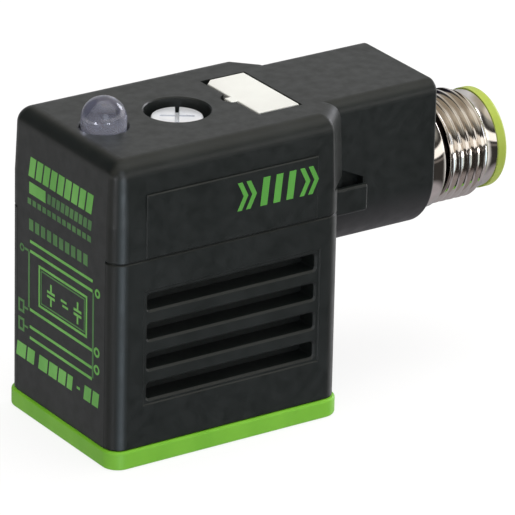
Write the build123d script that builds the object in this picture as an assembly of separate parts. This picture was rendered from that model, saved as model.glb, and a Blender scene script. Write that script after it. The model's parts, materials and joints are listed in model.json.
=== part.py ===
"""Electrical plug for a solenoid valve's coil, with an M12 outlet.

Millimetres, +Z up, away from the coil.  The origin is the centre of the gasket's
underside, on the axis of the central screw.  +X points towards the M12 connector.
"""
from build123d import *
import math
import os

# ---- driving dimensions -------------------------------------------------------------
GASKET_LENGTH = 28.5
GASKET_WIDTH = 21.2
GASKET_THICKNESS = 2.05
GASKET_CORNER_R = 1.9
GASKET_EDGE_R = 0.3

BODY_LENGTH = 27.94
BODY_WIDTH = 20.64
BODY_CORNER_R = 1.7
SPLIT_Z = 22.8
TOP_Z = 33.7
TOP_FILLET = 1.8
TAPER_START_Z = 26.7
TAPER_INSET = 0.3
INNER_LENGTH = 24.4
INNER_WIDTH = 14.4
INNER_CORNER_R = 0.8
CEILING_Z = 31.9

SLOT_COUNT = 4
SLOT_X0 = -9.8
SLOT_X1 = 10.7
SLOT_BOTTOM_Z = 7.2
SLOT_PITCH = 3.3
SLOT_HEIGHT = 1.75
SLOT_DEPTH = 2.5
SLOT_CORNER_R = 0.3
SLOT_MOUTH = 0.22
GRIP_FRAME = 0.45
GRIP_DEPTH = 0.12
EDGE_BREAK = 0.15

RIM_HEIGHT = 1.5
RIM_THICKNESS = 0.9
RIM_GAP = 0.1
APRON_HALF_WIDTH = 8.6
APRON_GAP = 0.05
PANEL_X0 = -10.2
PANEL_X1 = 10.7
PANEL_TOP_Z = 29.95
PANEL_RISE = 0.12

SHOULDER_X0 = 12.8
SHOULDER_X1 = 15.9
SHOULDER_BOTTOM_Z = 25.5
SHOULDER_EDGE_R = 0.6
EAR_X1 = 18.6
EAR_Y0 = 7.4
EAR_Y1 = 8.15
EAR_Z0 = 21.4
EAR_Z1 = 24.4
EAR_EDGE_R = 0.3
LATCH_POCKET_Z0 = 23.4
LATCH_POCKET_FRONT_Z = 26.1
LATCH_POCKET_REAR_Z = 24.85
LATCH_POCKET_DEPTH = 1.0

M12_AXIS_Z = 22.9
NECK_R = 7.1
NECK_TOP_R = 1.4
NECK_END_X = 27.9
NECK_END_R = 0.4
NECK_START_X = 14.0
WIRE_PASSAGE_R = 4.6

SLEEVE_TAIL_X = 20.5
SLEEVE_TAIL_R = 5.5
SLEEVE_TAIL_BORE_R = 3.9
COLLAR_END_X = 30.1
COLLAR_R = 6.15
UNDERCUT_END_X = 30.7
UNDERCUT_R = 5.3
THREAD_END_X = 36.0
THREAD_R = 5.95
SPIGOT_X = 37.3
SPIGOT_SHOULDER_R = 5.35
SPIGOT_END_X = 38.1
SPIGOT_R = 4.85
CAVITY_R = 4.35
MOUTH_X = 38.55
FRONT_RING_R = 5.47
FRONT_RING_EDGE_R = 0.45
INSERT_X0 = 26.0
INSERT_X1 = 31.0
KEY_X1 = 36.8
KEY_HALF_WIDTH = 0.4
KEY_HEIGHT = 0.7
SEAL_X0 = 25.0
SEAL_SECTION = 0.8

PIN_R = 0.5
PIN_CIRCLE_R = 2.83
PIN_X0 = 21.0
PIN_X1 = 37.6
PIN_TIP_CHAMFER = 0.2

WELL_R = 3.5
WELL_MOUTH = 0.12
WELL_FLOOR_Z = 24.0
BOSS_R = 4.5
BOSS_BOTTOM_Z = 22.4
SCREW_HOLE_R = 1.75
SEAT_R = 2.15
SEAT_DEPTH = 0.95

HEAD_R = 2.75
HEAD_TOP_Z = 33.0
HEAD_BOTTOM_Z = 31.0
DRIVE_SLOT_WIDTH = 0.7
DRIVE_TURN = 57.0
DRIVE_SLOT_DEPTH = 1.1
DRIVE_CROSS_SHARE = 0.6
SHANK_R = 1.2
THREAD_M3_R = 1.5
THREAD_M3_TOP_Z = 8.35
SCREW_TIP_Z = 0.3
TIP_CHAMFER = 0.3
WASHER_R = 2.95
WASHER_HOLE_R = 1.3
WASHER_THICKNESS = 0.45
WASHER_GAP = 0.05
O_RING_HOLE_R = 1.28
O_RING_SECTION = 0.8

BLOCK_LENGTH = 24.3
BLOCK_WIDTH = 14.3
BLOCK_BOTTOM_Z = 0.4
BLOCK_TOP_Z = 12.5
BLOCK_BORE_R = 1.8
RETAINER_Z0 = 8.45
RETAINER_Z1 = 9.25
RETAINER_R = 2.2
TUBE_R = 2.6
ENTRY_LENGTH = 7.0
ENTRY_WIDTH = 1.3
ENTRY_TOP_Z = 1.4
ENTRY_MOUTH = 0.3
POCKET_LENGTH = 7.8
POCKET_WIDTH = 2.6

CONTACT_LENGTH = 7.4
CONTACT_WIDTH = 2.4
CONTACT_SHEET = 0.4
CONTACT_MOUTH = 3.2
CONTACT_BOTTOM_Z = 1.6
CONTACT_TOP_Z = 10.6
TAIL_WIDTH = 1.5
LINE_Y = 5.5
EARTH_X = 8.7

BOARD_LENGTH = 23.6
BOARD_WIDTH = 13.8
BOARD_BOTTOM_Z = 17.0
BOARD_TOP_Z = 18.2
BOARD_HOLE_R = 2.9
BOARD_STANDOFF = 0.2

DIODE_X = -5.2
DIODE_R = 1.35
DIODE_LENGTH = 5.2
DIODE_LEAD_R = 0.35
DIODE_SPAN = 9.0
RESISTOR_X = 5.0
RESISTOR_R = 1.1
RESISTOR_LENGTH = 6.3
RESISTOR_LEAD_R = 0.3
RESISTOR_SPAN = 10.0
RECTIFIER_X = -9.2
RECTIFIER_Y = -4.6
RECTIFIER_LENGTH = 4.0
RECTIFIER_WIDTH = 3.2
RECTIFIER_HEIGHT = 2.4
RECTIFIER_EDGE = 0.3
RECTIFIER_LEG_PITCH = 2.4
RECTIFIER_LEG_WIDTH = 0.6
RECTIFIER_LEG_LENGTH = 0.8

LED_X = -8.9
LED_R = 2.4
LED_HOLE_R = 2.55
LED_TOP_Z = 36.9
LED_FLANGE_R = 2.9
LED_FLANGE_Z = 28.2
LED_FLANGE_THICKNESS = 1.0
LED_BOSS_R = 3.6
LEG_PITCH = 2.54
LEG_WIDTH = 0.5
CUP_Z0 = 31.4
CUP_Z1 = 32.6
CUP_R = 0.85
CUP_HOLLOW_R = 0.6
CUP_HOLLOW_DEPTH = 0.6
POST_HEAD_Z1 = 32.4
POST_HEAD_WIDTH = 0.9

MARKER_X0 = 6.6
MARKER_X1 = 11.6
MARKER_WIDTH = 10.4
MARKER_TOP_Z = 33.75
MARKER_THICKNESS = 0.8
MARKER_GAP = 0.25
MARKER_CUT_CORNER = 0.8
MARKER_EDGE_R = 0.12
MARKER_TAB_LENGTH = 0.75
MARKER_TAB_WIDTH = 1.3
MARKER_TAB_Y = -0.6
MARKER_STUD_R = 0.6
MARKER_STUD_Y = 3.6
MARKER_STUD_LENGTH = 0.9
MARKER_HOLE_R = 0.8
PRY_R = 1.2
PRY_Y = -0.2

WIRE_R = 0.65
WIRE_DROP_X = 10.2
EARTH_WIRE_DROP_X = 8.6
BEND_SHARE = 0.45

FAR = 40.0
OVERCUT = 1.0


# ---- helpers ------------------------------------------------------------------------
def rounded_block(length, width, radius, z0, z1):
    """Upright block with rounded vertical corners, centred on the screw axis."""
    return extrude(Plane.XY.offset(z0) * RectangleRounded(length, width, radius), z1 - z0)


def box_between(x0, x1, y0, y1, z0, z1):
    """Plain box from its two corners."""
    centre = Pos((x0 + x1) / 2, (y0 + y1) / 2, (z0 + z1) / 2)
    return centre * Box(x1 - x0, y1 - y0, z1 - z0)


def upright(x, y, radius, z0, z1):
    """Upright cylinder at x, y."""
    low = (Align.CENTER, Align.CENTER, Align.MIN)
    return Pos(x, y, z0) * Cylinder(radius, z1 - z0, align=low)


def level(x0, x1, radius, y=0.0, z=M12_AXIS_Z):
    """Cylinder along X, on the connector's axis unless placed elsewhere."""
    low = (Align.CENTER, Align.CENTER, Align.MIN)
    return Pos(x0, y, z) * Rot(0, 90, 0) * Cylinder(radius, x1 - x0, align=low)


def round_ring(radius_in, section, z0):
    """O-ring with a round section, lying flat with its underside at z0."""
    r = section / 2
    return Pos(0, 0, z0 + r) * Torus(radius_in + r, r)


def both_sides(shape):
    """The shape and its mirror image across the XZ plane."""
    return shape + mirror(shape, about=Plane.XZ)


# ---- casings ------------------------------------------------------------------------
def side_recess(x0, x1, z0, z1, depth):
    """Shallow rectangular field in the +Y side, with walls that slope outwards at 45 degrees."""
    origin = ((x0 + x1) / 2, BODY_WIDTH / 2 - depth, (z0 + z1) / 2)
    floor = Plane(origin=origin, x_dir=(1, 0, 0), z_dir=(0, 1, 0)) * Rectangle(x1 - x0, z1 - z0)
    return extrude(floor, OVERCUT, taper=-45)


def side_pad(x0, x1, z0, z1, rise):
    """Low rectangular pad on the +Y side, with walls that slope inwards at 45 degrees."""
    origin = ((x0 + x1) / 2, BODY_WIDTH / 2, (z0 + z1) / 2)
    base = Plane(origin=origin, x_dir=(1, 0, 0), z_dir=(0, 1, 0)) * Rectangle(x1 - x0, z1 - z0)
    return extrude(base, rise, taper=45)


def make_grip():
    """What the +Y side loses: a shallow field with four deeper slots in it."""
    length = SLOT_X1 - SLOT_X0
    middle_x = (SLOT_X0 + SLOT_X1) / 2
    field_y = BODY_WIDTH / 2 - GRIP_DEPTH
    field_z0 = SLOT_BOTTOM_Z - GRIP_FRAME
    field_z1 = SLOT_BOTTOM_Z + (SLOT_COUNT - 1) * SLOT_PITCH + SLOT_HEIGHT + GRIP_FRAME
    grip = side_recess(SLOT_X0 - GRIP_FRAME, SLOT_X1 + GRIP_FRAME, field_z0, field_z1, GRIP_DEPTH)
    for i in range(SLOT_COUNT):
        z = SLOT_BOTTOM_Z + i * SLOT_PITCH + SLOT_HEIGHT / 2
        face = Plane(origin=(middle_x, field_y, z), x_dir=(1, 0, 0), z_dir=(0, -1, 0))
        slot = extrude(face * RectangleRounded(length, SLOT_HEIGHT, SLOT_CORNER_R), SLOT_DEPTH)
        wide = (length + 2 * SLOT_MOUTH, SLOT_HEIGHT + 2 * SLOT_MOUTH)
        mouth = face * RectangleRounded(*wide, SLOT_CORNER_R + SLOT_MOUTH)
        grip += slot + extrude(mouth, SLOT_MOUTH, taper=45)
    return grip


def make_lower_housing():
    """Open shell: slotted sides, rim for the cover, front opening, rear latch ears."""
    outer = rounded_block(BODY_LENGTH, BODY_WIDTH, BODY_CORNER_R, GASKET_THICKNESS, SPLIT_Z)
    outer = chamfer(outer.edges().group_by(Axis.Z)[0] + outer.edges().group_by(Axis.Z)[-1], EDGE_BREAK)
    rim_length = INNER_LENGTH + 2 * RIM_THICKNESS
    rim_width = INNER_WIDTH + 2 * RIM_THICKNESS
    rim = rounded_block(rim_length, rim_width, INNER_CORNER_R, SPLIT_Z, SPLIT_Z + RIM_HEIGHT)
    hollow = rounded_block(INNER_LENGTH, INNER_WIDTH, INNER_CORNER_R, GASKET_THICKNESS, FAR)
    ear = box_between(BODY_LENGTH / 2 - OVERCUT, EAR_X1, EAR_Y0, EAR_Y1, EAR_Z0, EAR_Z1)
    ear = fillet(ear.edges().group_by(Axis.X)[-1] + ear.edges().filter_by(Axis.X), EAR_EDGE_R)
    ear_relief = box_between(0, NECK_START_X, EAR_Y0, EAR_Y1, SPLIT_Z, EAR_Z1)
    shell = outer + rim - hollow + both_sides(ear - ear_relief)
    shell -= both_sides(make_grip())
    half = APRON_HALF_WIDTH
    front = box_between(-FAR, -INNER_LENGTH / 2, -half, half, GASKET_THICKNESS, FAR)
    r = WIRE_PASSAGE_R
    wall_x0 = INNER_LENGTH / 2 - OVERCUT
    wall_x1 = BODY_LENGTH / 2 + OVERCUT
    wire_way = level(wall_x0, wall_x1, r) + box_between(wall_x0, wall_x1, -r, r, M12_AXIS_Z, FAR)
    return shell - front - wire_way


def cover_outline():
    """Plan of the cover above the ears: rounded front, slanting rear shoulders."""
    x0 = -BODY_LENGTH / 2
    y1 = BODY_WIDTH / 2
    points = [(x0, -y1), (SHOULDER_X0, -y1), (SHOULDER_X1, -NECK_R)]
    points += [(SHOULDER_X1, NECK_R), (SHOULDER_X0, y1), (x0, y1)]
    outline = make_face(Polyline(*points, close=True))
    front_corners = outline.vertices().group_by(Axis.X)[0]
    outline = fillet(front_corners, BODY_CORNER_R)
    shoulders = [v for v in outline.vertices() if abs(v.X - SHOULDER_X0) < SHOULDER_EDGE_R]
    return fillet(shoulders, SHOULDER_EDGE_R)


def mouth_cone(x, y, radius, depth):
    """Countersink that breaks a hole's edge at the top face."""
    low = (Align.CENTER, Align.CENTER, Align.MIN)
    return Pos(x, y, TOP_Z - depth) * Cone(radius, radius + 2 * depth, 2 * depth, align=low)


def make_cover_block():
    """Outside of the cover without its neck."""
    low = rounded_block(BODY_LENGTH, BODY_WIDTH, BODY_CORNER_R, SPLIT_Z, SHOULDER_BOTTOM_Z)
    low = chamfer(low.edges().group_by(Axis.Z)[0], EDGE_BREAK)
    middle_height = TAPER_START_Z - SHOULDER_BOTTOM_Z
    middle = extrude(Plane.XY.offset(SHOULDER_BOTTOM_Z) * cover_outline(), middle_height)
    top_height = TOP_Z - TAPER_START_Z
    angle = math.degrees(math.atan2(TAPER_INSET, top_height))
    top = extrude(Plane.XY.offset(TAPER_START_Z) * cover_outline(), top_height, taper=angle)
    rim_edges = top.edges().group_by(Axis.Z)[-1]
    return low + middle + fillet(rim_edges, TOP_FILLET)


def make_neck():
    """Horizontal neck: flat on top, round underneath, running into the cover."""
    height = TOP_Z - M12_AXIS_Z
    flat = Pos(0, height / 2) * Rectangle(2 * NECK_R, height)
    flat = fillet(flat.vertices().group_by(Axis.Y)[-1], NECK_TOP_R)
    profile = flat + Circle(NECK_R)
    plane = Plane(origin=(SHOULDER_X0, 0, M12_AXIS_Z), x_dir=(0, 1, 0), z_dir=(1, 0, 0))
    neck = extrude(plane * profile, NECK_END_X - SHOULDER_X0)
    neck = fillet(neck.edges().group_by(Axis.X)[-1], NECK_END_R)
    return neck - box_between(0, NECK_START_X, -FAR, FAR, 0, SPLIT_Z)


def make_latch_pocket():
    """Recess in the neck's -Y side above the ear, whose top slopes down rearwards."""
    points = [(SHOULDER_X1, LATCH_POCKET_Z0), (SHOULDER_X1, LATCH_POCKET_FRONT_Z)]
    points += [(EAR_X1, LATCH_POCKET_REAR_Z), (EAR_X1, LATCH_POCKET_Z0)]
    outline = make_face(Polyline(*points, close=True))
    floor = Plane.XZ.offset(NECK_R - LATCH_POCKET_DEPTH) * outline
    return extrude(floor, LATCH_POCKET_DEPTH + OVERCUT)


def make_upper_housing():
    """Cover with its neck, front apron, screw well, LED hole and marker pocket."""
    half = APRON_HALF_WIDTH - APRON_GAP
    apron_x0 = -BODY_LENGTH / 2
    apron_x1 = -INNER_LENGTH / 2
    apron_top = SPLIT_Z + RIM_HEIGHT
    apron = box_between(apron_x0, apron_x1, -half, half, GASKET_THICKNESS, apron_top)
    panel = side_pad(PANEL_X0, PANEL_X1, SPLIT_Z + EDGE_BREAK, PANEL_TOP_Z, PANEL_RISE)
    rim_length = INNER_LENGTH + 2 * RIM_THICKNESS + 2 * RIM_GAP
    rim_width = INNER_WIDTH + 2 * RIM_THICKNESS + 2 * RIM_GAP
    rim_room = rounded_block(rim_length, rim_width, INNER_CORNER_R, SPLIT_Z, SPLIT_Z + RIM_HEIGHT)
    hollow = rounded_block(INNER_LENGTH, INNER_WIDTH, INNER_CORNER_R, SPLIT_Z, CEILING_Z)
    cover = make_cover_block() + make_neck() + both_sides(panel) - rim_room - hollow + apron
    cover += upright(0, 0, BOSS_R, BOSS_BOTTOM_Z, CEILING_Z)
    led_boss_z = LED_FLANGE_Z + LED_FLANGE_THICKNESS
    cover += upright(LED_X, 0, LED_BOSS_R, led_boss_z, CEILING_Z)
    cover -= upright(LED_X, 0, LED_HOLE_R, led_boss_z - OVERCUT, FAR)
    cover -= upright(0, 0, WELL_R, WELL_FLOOR_Z, FAR)
    cover -= mouth_cone(0, 0, WELL_R, WELL_MOUTH)
    cover -= mouth_cone(LED_X, 0, LED_HOLE_R, EDGE_BREAK)
    cover -= upright(0, 0, SEAT_R, WELL_FLOOR_Z - SEAT_DEPTH, FAR)
    cover -= upright(0, 0, SCREW_HOLE_R, BOSS_BOTTOM_Z - OVERCUT, FAR)
    cover -= level(INNER_LENGTH / 2 - OVERCUT, FAR, WIRE_PASSAGE_R)
    cover -= level(SLEEVE_TAIL_X, FAR, SLEEVE_TAIL_R)
    cover -= both_sides(make_latch_pocket())
    return cover - make_marker_pocket()


def make_marker_pocket():
    """Room for the marker plate, its tab and studs, with the half-round pry notch."""
    gap = MARKER_GAP
    half = MARKER_WIDTH / 2 + gap
    floor_z = MARKER_TOP_Z - MARKER_THICKNESS
    pocket = box_between(MARKER_X0 - gap, MARKER_X1 + gap, -half, half, floor_z, FAR)
    pocket += upright(MARKER_X0, PRY_Y, PRY_R, floor_z, FAR)
    stud_x = (MARKER_X0 + MARKER_X1) / 2
    for y in (-MARKER_STUD_Y, MARKER_STUD_Y):
        pocket += upright(stud_x, y, MARKER_HOLE_R, CEILING_Z - OVERCUT, FAR)
    return pocket


def make_gasket():
    """Flat sealing frame around the contact block."""
    outer = rounded_block(GASKET_LENGTH, GASKET_WIDTH, GASKET_CORNER_R, 0, GASKET_THICKNESS)
    outer = fillet(outer.edges().group_by(Axis.Z)[0] + outer.edges().group_by(Axis.Z)[-1], GASKET_EDGE_R)
    return outer - rounded_block(INNER_LENGTH, INNER_WIDTH, INNER_CORNER_R, 0, GASKET_THICKNESS)


# ---- contact side -------------------------------------------------------------------
def contact_places():
    """Where each receptacle stands: name, x, y, turn about Z."""
    return [
        ("contact_line", 0, LINE_Y, 0),
        ("contact_neutral", 0, -LINE_Y, 180),
        ("contact_earth", EARTH_X, 0, -90),
    ]


def make_contact_block():
    """Insulating block with blade entries, receptacle pockets and the screw bore."""
    block = rounded_block(BLOCK_LENGTH, BLOCK_WIDTH, INNER_CORNER_R, BLOCK_BOTTOM_Z, BLOCK_TOP_Z)
    block -= upright(0, 0, BLOCK_BORE_R, 0, FAR)
    block -= upright(0, 0, RETAINER_R, RETAINER_Z0, FAR)
    block -= upright(0, 0, TUBE_R, RETAINER_Z1, FAR)
    half_entry = (ENTRY_LENGTH / 2, ENTRY_WIDTH / 2)
    half_pocket = (POCKET_LENGTH / 2, POCKET_WIDTH / 2)
    for _, x, y, turn in contact_places():
        entry = box_between(-half_entry[0], half_entry[0], -half_entry[1], half_entry[1], 0, FAR)
        pocket = box_between(
            -half_pocket[0], half_pocket[0], -half_pocket[1], half_pocket[1], ENTRY_TOP_Z, FAR
        )
        wide = Rectangle(ENTRY_LENGTH + 2 * ENTRY_MOUTH, ENTRY_WIDTH + 2 * ENTRY_MOUTH)
        mouth = extrude(Plane.XY.offset(BLOCK_BOTTOM_Z) * wide, ENTRY_MOUTH, taper=45)
        block -= Pos(x, y, 0) * Rot(0, 0, turn) * (entry + pocket + mouth)
    return block


def make_contact():
    """Folded sheet receptacle for a 6.3 x 0.8 blade, with its solder tail."""
    outline = Rectangle(CONTACT_LENGTH, CONTACT_WIDTH)
    outline -= Rectangle(CONTACT_LENGTH - 2 * CONTACT_SHEET, CONTACT_WIDTH - 2 * CONTACT_SHEET)
    outline -= Pos(0, -CONTACT_WIDTH / 2) * Rectangle(CONTACT_MOUTH, 2 * CONTACT_SHEET)
    height = CONTACT_TOP_Z - CONTACT_BOTTOM_Z
    channel = extrude(Plane.XY.offset(CONTACT_BOTTOM_Z) * outline, height)
    y1 = CONTACT_WIDTH / 2
    half = TAIL_WIDTH / 2
    tail_z0 = CONTACT_TOP_Z - OVERCUT
    tail = box_between(-half, half, y1 - CONTACT_SHEET, y1, tail_z0, BOARD_BOTTOM_Z)
    return channel + tail


def place_contact(x, y, turn):
    """One receptacle in its pocket."""
    return Pos(x, y, 0) * Rot(0, 0, turn) * make_contact()


def make_guide_tube():
    """Insulating tube around the screw, from the contact block to the cover's boss."""
    tube = upright(0, 0, TUBE_R, RETAINER_Z1, BOSS_BOTTOM_Z)
    return tube - upright(0, 0, SCREW_HOLE_R, 0, FAR)


def make_potting():
    """Cast compound between the contact block and the board."""
    fill = rounded_block(INNER_LENGTH, INNER_WIDTH, INNER_CORNER_R, BLOCK_TOP_Z, BOARD_BOTTOM_Z)
    fill -= upright(0, 0, TUBE_R, 0, FAR)
    for _, x, y, turn in contact_places():
        fill -= place_contact(x, y, turn)
    return fill


# ---- screw --------------------------------------------------------------------------
def make_central_screw():
    """M3 cheese head screw with a crossed drive, waisted so that it stays captive."""
    head = upright(0, 0, HEAD_R, HEAD_BOTTOM_Z, HEAD_TOP_Z)
    head = chamfer(head.edges().group_by(Axis.Z)[-1], TIP_CHAMFER)
    half = DRIVE_SLOT_WIDTH / 2
    z0 = HEAD_TOP_Z - DRIVE_SLOT_DEPTH
    slot = box_between(-HEAD_R, HEAD_R, -half, half, z0, FAR)
    reach = HEAD_R * DRIVE_CROSS_SHARE
    cross = box_between(-half, half, -reach, reach, z0, FAR)
    head -= Rot(0, 0, DRIVE_TURN) * (slot + cross)
    thread = upright(0, 0, THREAD_M3_R, SCREW_TIP_Z, THREAD_M3_TOP_Z)
    thread = chamfer(thread.edges().group_by(Axis.Z)[0], TIP_CHAMFER)
    return head + upright(0, 0, SHANK_R, THREAD_M3_TOP_Z, HEAD_BOTTOM_Z) + thread


def make_screw_washer():
    """Plain washer just under the screw head."""
    z1 = HEAD_BOTTOM_Z - WASHER_GAP
    washer = upright(0, 0, WASHER_R, z1 - WASHER_THICKNESS, z1)
    return washer - upright(0, 0, WASHER_HOLE_R, 0, FAR)


def make_screw_o_ring():
    """Seal in the well's floor, which also grips the shank."""
    return round_ring(O_RING_HOLE_R, O_RING_SECTION, WELL_FLOOR_Z - SEAT_DEPTH)


def make_retaining_ring():
    """Ring between block and guide tube that the thread can't pass."""
    ring = upright(0, 0, RETAINER_R, RETAINER_Z0, RETAINER_Z1)
    return ring - upright(0, 0, O_RING_HOLE_R, 0, FAR)


# ---- light and marker ---------------------------------------------------------------
def make_led_leads():
    """Cathode with its reflector cup, and anode post, each down to the board."""
    half = LEG_WIDTH / 2
    y = LEG_PITCH / 2
    cathode = box_between(LED_X - half, LED_X + half, y - half, y + half, BOARD_TOP_Z, CUP_Z0)
    bridge = box_between(LED_X - half, LED_X + half, 0, y + half, CUP_Z0 - 2 * half, CUP_Z0)
    cup = upright(LED_X, 0, CUP_R, CUP_Z0, CUP_Z1)
    cup -= upright(LED_X, 0, CUP_HOLLOW_R, CUP_Z1 - CUP_HOLLOW_DEPTH, FAR)
    anode = box_between(LED_X - half, LED_X + half, -y - half, -y + half, BOARD_TOP_Z, CUP_Z0)
    wide = POST_HEAD_WIDTH / 2
    post = box_between(LED_X - wide, LED_X + wide, -y - half, -y + half, CUP_Z0, POST_HEAD_Z1)
    post_shift = Pos(0, -LEG_WIDTH / 4, 0)
    return Compound(children=[cathode + bridge + cup, post_shift * (anode + post)])


def make_led_lens():
    """Round LED body: flange, barrel and half-round top, cast around its leads."""
    dome_z = LED_TOP_Z - LED_R
    lens = upright(LED_X, 0, LED_R, LED_FLANGE_Z, dome_z)
    lens += Pos(LED_X, 0, dome_z) * Sphere(LED_R)
    lens += upright(LED_X, 0, LED_FLANGE_R, LED_FLANGE_Z, LED_FLANGE_Z + LED_FLANGE_THICKNESS)
    for lead in make_led_leads().solids():
        lens -= lead
    return lens


def make_marker_plate():
    """Snap-in marker with a finger tab and two studs."""
    z0 = MARKER_TOP_Z - MARKER_THICKNESS
    half = MARKER_WIDTH / 2
    plate = box_between(MARKER_X0, MARKER_X1, -half, half, z0, MARKER_TOP_Z)
    far_corner = plate.edges().filter_by(Axis.Z).group_by(Axis.X)[0].sort_by(Axis.Y)[-1]
    plate = chamfer(far_corner, MARKER_CUT_CORNER)
    tab_x = MARKER_X0 - MARKER_TAB_LENGTH
    tab_y0 = MARKER_TAB_Y - MARKER_TAB_WIDTH / 2
    tab_y1 = MARKER_TAB_Y + MARKER_TAB_WIDTH / 2
    plate += box_between(tab_x, MARKER_X0, tab_y0, tab_y1, z0, MARKER_TOP_Z)
    plate = fillet(plate.edges().group_by(Axis.Z)[-1], MARKER_EDGE_R)
    stud_x = (MARKER_X0 + MARKER_X1) / 2
    for y in (-MARKER_STUD_Y, MARKER_STUD_Y):
        plate += upright(stud_x, y, MARKER_STUD_R, z0 - MARKER_STUD_LENGTH, z0)
    return plate


# ---- circuit ------------------------------------------------------------------------
def make_circuit_board():
    """Board with the hole for the guide tube."""
    board = rounded_block(BOARD_LENGTH, BOARD_WIDTH, INNER_CORNER_R, BOARD_BOTTOM_Z, BOARD_TOP_Z)
    return board - upright(0, 0, BOARD_HOLE_R, 0, FAR)


def make_axial_part(x, body_r, body_length, lead_r, span):
    """Axial component lying along Y on the board, legs bent down to its top face."""
    z = BOARD_TOP_Z + body_r + BOARD_STANDOFF
    lying = Pos(x, 0, z) * Rot(90, 0, 0)
    part = lying * Cylinder(body_r, body_length)
    part += lying * Cylinder(lead_r, span)
    for y in (-span / 2, span / 2):
        part += upright(x, y, lead_r, BOARD_TOP_Z, z)
        part += Pos(x, y, z) * Sphere(lead_r)
    return part


def make_bridge_rectifier():
    """Small four-legged rectifier on the board."""
    z0 = BOARD_TOP_Z + BOARD_STANDOFF
    half_length = RECTIFIER_LENGTH / 2
    half_width = RECTIFIER_WIDTH / 2
    body = box_between(-half_length, half_length, -half_width, half_width, z0, z0 + RECTIFIER_HEIGHT)
    body = chamfer(body.edges().group_by(Axis.Z)[-1], RECTIFIER_EDGE)
    leg_z1 = BOARD_TOP_Z + RECTIFIER_LEG_LENGTH
    half_leg = RECTIFIER_LEG_WIDTH / 2
    for x in (-RECTIFIER_LEG_PITCH / 2, RECTIFIER_LEG_PITCH / 2):
        for y in (-half_width, half_width):
            leg_y0 = y - RECTIFIER_LEG_LENGTH / 2
            leg_y1 = y + RECTIFIER_LEG_LENGTH / 2
            body += box_between(x - half_leg, x + half_leg, leg_y0, leg_y1, BOARD_TOP_Z, leg_z1)
    return Pos(RECTIFIER_X, RECTIFIER_Y, 0) * body


# ---- M12 connector ------------------------------------------------------------------
def make_m12_sleeve():
    """Turned sleeve: tail in the neck, collar, undercut, thread, spigot for the ring."""
    sleeve = level(SLEEVE_TAIL_X, NECK_END_X, SLEEVE_TAIL_R)
    sleeve -= level(SEAL_X0, SEAL_X0 + SEAL_SECTION, FAR) - level(
        SEAL_X0, SEAL_X0 + SEAL_SECTION, SLEEVE_TAIL_R - SEAL_SECTION
    )
    sleeve += level(NECK_END_X, COLLAR_END_X, COLLAR_R)
    sleeve += level(COLLAR_END_X, UNDERCUT_END_X, UNDERCUT_R)
    sleeve += level(UNDERCUT_END_X, THREAD_END_X, THREAD_R)
    sleeve += level(THREAD_END_X, SPIGOT_X, SPIGOT_SHOULDER_R)
    sleeve += level(SPIGOT_X, SPIGOT_END_X, SPIGOT_R)
    return sleeve - level(INSERT_X0, FAR, CAVITY_R) - level(0, INSERT_X0, SLEEVE_TAIL_BORE_R)


def make_m12_front_ring():
    """Coloured ring over the spigot and its end."""
    ring = level(SPIGOT_X, MOUTH_X, FRONT_RING_R)
    ring = fillet(ring.edges().group_by(Axis.X)[-1], FRONT_RING_EDGE_R)
    return ring - level(SPIGOT_X, SPIGOT_END_X, SPIGOT_R) - level(SPIGOT_END_X, FAR, CAVITY_R)


def make_m12_o_ring():
    """Seal between the sleeve's tail and the neck."""
    r = SEAL_SECTION / 2
    ring = Torus(SLEEVE_TAIL_R - r, r)
    return Pos(SEAL_X0 + r, 0, M12_AXIS_Z) * Rot(0, 90, 0) * ring


def pin_places():
    """Centre of each pin as y, z: right, left, top, bottom."""
    offsets = [(PIN_CIRCLE_R, 0), (-PIN_CIRCLE_R, 0), (0, PIN_CIRCLE_R), (0, -PIN_CIRCLE_R)]
    return [(y, M12_AXIS_Z + z) for y, z in offsets]


def make_m12_insert():
    """Pin carrier with the coding rib along the sleeve's wall."""
    insert = level(INSERT_X0, INSERT_X1, CAVITY_R)
    rib_low = CAVITY_R - KEY_HEIGHT
    rib = box_between(INSERT_X1, KEY_X1, -KEY_HALF_WIDTH, KEY_HALF_WIDTH, rib_low, FAR)
    rib = Pos(0, 0, M12_AXIS_Z) * Rot(45, 0, 0) * rib
    insert += rib & level(INSERT_X1, KEY_X1, CAVITY_R)
    for y, z in pin_places():
        insert -= level(0, FAR, PIN_R, y, z)
    return insert


def make_m12_pins():
    """Four contact pins, through the carrier."""
    pins = []
    for y, z in pin_places():
        pin = level(PIN_X0, PIN_X1, PIN_R, y, z)
        pins.append(chamfer(pin.edges().group_by(Axis.X)[-1], PIN_TIP_CHAMFER))
    return Compound(children=pins)


def make_wire(place, drop_x):
    """Insulated wire from a pin's tail, level to drop_x, then down to the board."""
    y, z = place
    corners = [(PIN_X0, y, z), (drop_x, y, z), (drop_x, y, BOARD_TOP_Z)]
    short_run = min(PIN_X0 - drop_x, z - BOARD_TOP_Z)
    bend_r = BEND_SHARE * short_run / math.tan(math.radians(45))
    path = FilletPolyline(*corners, radius=bend_r)
    print("wire bend radius", round(bend_r, 2), "length", round(path.length, 2))
    section = Plane(origin=corners[0], z_dir=(-1, 0, 0)) * Circle(WIRE_R)
    return sweep(section, path=path)


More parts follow.
